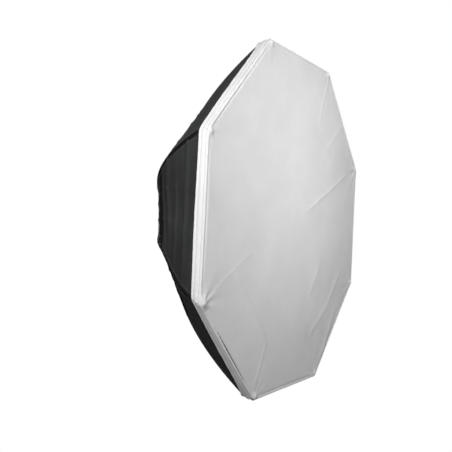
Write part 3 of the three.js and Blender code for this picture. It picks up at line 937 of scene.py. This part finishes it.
def make_rear_panel_binding(k):
    """The tape across gore k at the front edge of the rear panel."""
    across = np.linspace(0.02, 0.98, 40)
    share = np.full_like(across, REAR_PANEL_END)
    path = gore_surface(k, share, across, gore_lift(k, share, across) + 0.1 * MM)
    ahead = gore_surface(k, share + 0.01, across, gore_lift(k, share + 0.01, across) + 0.1 * MM)
    side = unit(path - ahead)
    along = unit(np.gradient(path, axis=0))
    up = unit(np.cross(along, side))
    build = sweep(Build(), path, side, up, tape_section(6 * MM, 0.7 * MM))
    for shift in (-2.1 * MM, 2.1 * MM):
        stitches(build, path + side * shift + up * 0.75 * MM, up)
    build.piece(f"rear_panel_binding_{k + 1}", ["binding", "thread"], "shell", "band_cloth")


def make_collar():
    """The gathered sleeve between the gores' rear edges and the ring, with its elastic hem."""
    back_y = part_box("rear_collar")[1].y
    angles = np.arange(384) * 2 * math.pi / 384
    rear_reach, rear_y = rod_profile(SHELL_START, SHELL_OFFSET)[:2]
    wide = outline(angles, rear_reach * math.cos(HALF_SIDE) - 0.3 * MM, 60)
    rows = []
    for share in np.linspace(0, 1, 15):
        radius = wide + (COLLAR_MOUTH - wide) * share
        y = rear_y - COLLAR_TUCK + (back_y - rear_y + COLLAR_TUCK) * share
        gather = 0.55 * MM * np.sin(56 * angles + 0.8 * np.sin(5 * angles)) * np.sin(np.pi * share) ** 0.7
        rows.append(around(angles, radius + gather, y))
    for turn in np.linspace(0.15, 1.0, 6):
        radius = COLLAR_MOUTH + 0.9 * MM * math.sin(turn * math.pi)
        y = back_y + 0.9 * MM * (1 - math.cos(turn * math.pi)) / 2
        rows.append(around(angles, radius + 0.15 * MM * np.sin(84 * angles), y))
    points = np.stack(rows)
    flat = paired(angles[None] * 0.08, np.linspace(0, COLLAR_LENGTH, len(rows))[:, None])
    build = Build().add(points, grid_faces(len(rows), len(angles), wrap_columns=True), flat)
    piece = build.piece("rear_collar_cloth", ["rear"], "shell", "shell_cloth", ["rear_collar"])
    return solidify(piece)


def make_rim_tape():
    """The loop tape round the outside of the rim band, which the hem grips."""
    angles = outline_angles(48)
    front, back = FRONT + 3 * MM, HEM_BACK - 8 * MM
    reach = outline(angles, APOTHEM - 3.2 * MM)
    path = around(angles, reach + 0.05 * MM, (front + back) / 2)
    up = around(MIDDLES[side_places(angles)[0]], 1.0, 0.0)
    side = -FRONTWARD
    build = sweep(Build(), path, side, up, tape_section(back - front, 0.9 * MM), closed=True)
    for shift in (-0.42, 0.42):
        stitches(build, path + side * shift * (back - front) + up * 0.95 * MM, up, closed=True)
    build.piece("rim_loop_tape", ["loops", "thread"], "shell", "band_cloth")


# ---- Rods, baffle and straps ----

def make_rod(k):
    """A smooth round rod on the CAD rod's own line."""
    shares = np.linspace(0, ROD_END, 60)
    bend = seam(k, shares, 0.0)
    lean = leaning(ROD_ROOT_ANGLE)
    direction = around(corner_angle(k), lean[0], lean[1])
    foot = bend[0] - direction * ROD_IN_SOCKET
    path = np.concatenate([[foot, foot + direction * ROD_IN_SOCKET * 0.6], bend])
    along = unit(np.gradient(path, axis=0))
    side = around(corner_angle(k) + math.pi / 2, 1.0, 0.0)
    side = unit(side - along * np.sum(side * along, axis=1)[:, None])
    up = np.cross(along, side)
    build = sweep(Build(), path, side, up, round_section(ROD_RADIUS, 14))
    build.piece(f"rod_{k + 1}_bar", ["rod"], "shell", "rod_steel", [f"rod_{k + 1}"])


def make_baffle():
    """The inner diffuser: a lighter sheet with a doubled hem all round."""
    low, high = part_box("inner_baffle")
    apothem, front = high.x, low.y
    angles = outline_angles(40)
    reach = outline(angles, apothem, 200)
    shares = np.concatenate([np.linspace(0, 0.93, 34), np.linspace(0.94, 1.0, 14)])[1:]
    x, z, inside = disc(shares, reach, angles, apothem)
    points = np.stack([x, 0 * x, z], axis=-1)
    height = 1.2 * MM * cloud(points, 0.15, 21.0) - 0.5 * MM * bell(inside - 12 * MM, 2 * MM)
    for k in range(SIDES):
        far, turn = from_corner(k, x, z, apothem / math.cos(HALF_SIDE))
        height += 1.4 * MM * np.cos(8 * turn) * np.exp(-far / 0.06) * np.clip(far / 0.02, 0, 1)
    height *= 1 - np.exp(-inside / 0.01)
    grid = np.stack([x, front - height, z], axis=-1)
    points = np.concatenate([grid.reshape(-1, 3), [[0, front - height[0, 0], 0]]])
    build = Build().add(points, disc_faces(*grid.shape[:2]))
    piece = build.piece("inner_baffle_cloth", ["baffle"], "baffle", "baffle_cloth", ["inner_baffle"])
    solidify(piece)
    trim = Build()
    path = around(angles, outline(angles, apothem - 4.5 * MM, 200), front + 0.4 * MM)
    side = around(angles, 1.0, 0.0)
    wrap = [
        (-4.5, -0.9), (3.6, -0.9), (4.4, -0.6), (4.4, 0.6),
        (3.6, 0.9), (-4.5, 0.9), (-4.7, 0.6), (-4.7, -0.6),
    ]
    sweep(trim, path, -side, FRONTWARD, np.array(wrap)[::-1] * [-MM, MM], closed=True)
    stitches(trim, path - side * 3 * MM + FRONTWARD * 0.9 * MM, FRONTWARD, closed=True)
    trim.piece("inner_baffle_hem", ["baffle", "white_thread"], "baffle", "baffle_cloth")
    return piece


def make_strap(k):
    """The elastic strap from the baffle's corner to the rod, sewn at both ends."""
    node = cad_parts[f"baffle_strap_{k + 1}"]
    points = np.array([vertex.co for vertex in node.data.vertices])
    middle = points.mean(axis=0)
    spread = points - middle
    _, _, axes = np.linalg.svd(spread, full_matrices=False)
    length, width, _ = (np.ptp(spread @ axis) for axis in axes)
    along, side = axes[0], axes[1]
    up = np.cross(along, side)
    steps = np.linspace(-0.5, 0.5, 24)
    ripple = 0.25 * MM * np.sin(steps * 60)
    path = middle + along * (steps * length)[:, None] + up * (ripple - 0.5 * MM)[:, None]
    build = sweep(Build(), path, side, up, tape_section(width, 1.0 * MM))
    for end in (-0.5, -0.44, 0.44, 0.5):
        at = middle + along * length * end * 0.94 + up * 0.55 * MM
        row = at + side * (np.linspace(-0.42, 0.42, 9) * width)[:, None]
        stitches(build, row, up, 2.4 * MM)
    build.piece(f"baffle_strap_{k + 1}_elastic", ["elastic", "thread"], "shell", "band_cloth",
                [f"baffle_strap_{k + 1}"])


# ---- Metal and moulded parts ----

def make_hardware():
    """The CAD's own metal and moulded pieces, and the rim band."""
    refined("bayonet_adapter", "adapter", "mount", "adapter_alloy", 0.45 * MM)
    refined("speedring", "ring", "shell", "ring_paint", 0.6 * MM)
    refined("retainer_plate", "steel", "shell", "steel", 0.3 * MM)
    for i in range(1, 5):
        refined(f"retainer_screw_{i}", "steel", "shell", "steel", 0.25 * MM)
    for i in (1, 2):
        refined(f"lock_shoe_{i}", "brass", f"lock_shoe_{i}", "brass", 0.2 * MM)
        refined(f"lock_stud_{i}", "steel", f"lock_screw_{i}", "steel", 0.2 * MM)
        refined(f"lock_knob_{i}", "knob", f"lock_screw_{i}", "knob_plastic", 0.9 * MM)
    for k in range(1, SIDES + 1):
        refined(f"rod_socket_{k}", "steel", "shell", "steel", 0.25 * MM)
        refined(f"rod_cap_{k}", "cap", "shell", "cap_plastic", 0.4 * MM)
    refined("rim_band", "loops", "shell", "band_cloth", 0.5 * MM)


# ---- Stage, lights and camera ----

CAMERA_DISTANCE = 1.4801
CAMERA_LENS = 53.25  # millimetres, for a sensor 36 mm wide


def make_camera():
    """A nearly level camera a metre and a half from the front left, tilted a little to one side."""
    target = Vector((-0.796 * APOTHEM, FRONT, -0.0472 * APOTHEM))
    azimuth, elevation, roll = (math.radians(a) for a in (-58.685, -0.25, 2.749))
    back = Vector((
        math.sin(azimuth) * math.cos(elevation),
        -math.cos(azimuth) * math.cos(elevation),
        math.sin(elevation),
    ))
    level = (-back).cross(Vector((0, 0, 1))).normalized()
    above = level.cross(-back)
    right = level * math.cos(roll) + above * math.sin(roll)
    up = above * math.cos(roll) - level * math.sin(roll)
    data = bpy.data.cameras.new("camera")
    data.sensor_width = 36
    data.lens = CAMERA_LENS
    camera = placed("camera", data)
    turn = Matrix((right, up, back)).transposed().to_4x4()
    camera.matrix_world = Matrix.Translation(target + back * CAMERA_DISTANCE) @ turn
    bpy.context.scene.camera = camera


def area_light(name, place, target, size, watts, spread=180):
    """A square soft box turned to the target. A spread below 180 degrees is a grid that narrows its beam."""
    data = bpy.data.lights.new(name, "AREA")
    adjust(data, {"shape": "SQUARE", "size": size, "energy": watts, "spread": math.radians(spread)})
    turn = (Vector(target) - Vector(place)).to_track_quat("-Z", "Y")
    light = adjust(placed(name, data), {"location": place, "visible_camera": False})
    adjust(light, {"rotation_mode": "QUATERNION", "rotation_quaternion": turn})


def make_lights():
    area_light("key", (0.0, -1.5, 0.5), (0.02, FRONT, 0.1), 0.3, 3.15, 105)
    area_light("left_panel", (-2.2, -0.95, 0.6), (-0.3, -0.3, 0.22), 0.6, 7.3, 70)
    area_light("top_panel", (0.2, 0.6, 2.2), (0.0, -0.1, 0.0), 1.8, 2.5)
    area_light("rear_panel", (2.3, 1.8, 0.2), (0.0, 0.0, 0.0), 1.3, 80)


def make_world():
    """A white surround for the eye. It lights the object less than it shows, and mostly from above."""
    world = bpy.data.worlds.new("studio")
    shader = Nodes(world)
    white = (1, 1, 1, 1)
    seen = adjust(shader.tree.nodes["Background"], {"Color": white, "Strength": 1})
    felt = shader.node("Background", Color=white)
    parts = shader.node("SeparateXYZ")
    path = shader.node("LightPath")
    mix = shader.node("MixShader")
    shader.link(shader.node("TexCoord").outputs["Generated"], parts.inputs["Vector"])
    shader.link(shader.spread(parts.outputs["Z"], 0.01, 0.2, -0.3, 0.8), felt.inputs["Strength"])
    shader.link(path.outputs["Is Camera Ray"], mix.inputs["Fac"])
    shader.link(felt.outputs["Background"], mix.inputs[1])
    shader.link(seen.outputs["Background"], mix.inputs[2])
    shader.link(mix.outputs["Shader"], shader.tree.nodes["World Output"].inputs["Surface"])
    bpy.context.scene.world = world
    bpy.context.scene.view_settings.view_transform = "Standard"


FLOOR_BELOW = 1.0  # the box hangs on a stand, this far above the floor
FLOOR_RADIUS = 1.5


def make_floor():
    """A pale round floor that fades into the white surround at its edge."""
    drop = cad_bounds[0].z - FLOOR_BELOW
    ring = [(x, y, drop) for x, y in round_section(FLOOR_RADIUS, 96)]
    mesh = bpy.data.meshes.new("floor")
    mesh.from_pydata(ring, [], [list(range(len(ring)))])
    floor = placed("floor", mesh)
    shader = Shader("pale_floor", Roughness=0.9)
    length = shader.node("VectorMath", operation="LENGTH")
    flat = shader.node("VectorMath", operation="MULTIPLY")
    flat.inputs[1].default_value = (1, 1, 0)
    shader.link(shader.spot(1), flat.inputs[0])
    shader.link(flat.outputs["Vector"], length.inputs[0])
    edge = shader.spread(length.outputs["Value"], 1, 0, 0.1, FLOOR_RADIUS - 0.1)
    shader.colour(shader.blend(shader.spread(shader.grain(2), 0, 1), grey(0.66), grey(0.7)))
    shader.link(edge, shader.surface.inputs["Alpha"])
    mesh.materials.append(shader.material)


# ---- The scene ----


make_camera()
make_world()
make_lights()
make_floor()
MATERIALS = make_materials()
face = make_face()
make_face_stitches()
hem = make_hem()
gores = [make_gore(k) for k in range(SIDES)]
for k in range(SIDES):
    make_seam_binding(k)
    make_rear_panel_binding(k)
    make_rod(k)
    make_strap(k)
collar = make_collar()
make_rim_tape()
baffle = make_baffle()
make_hardware()
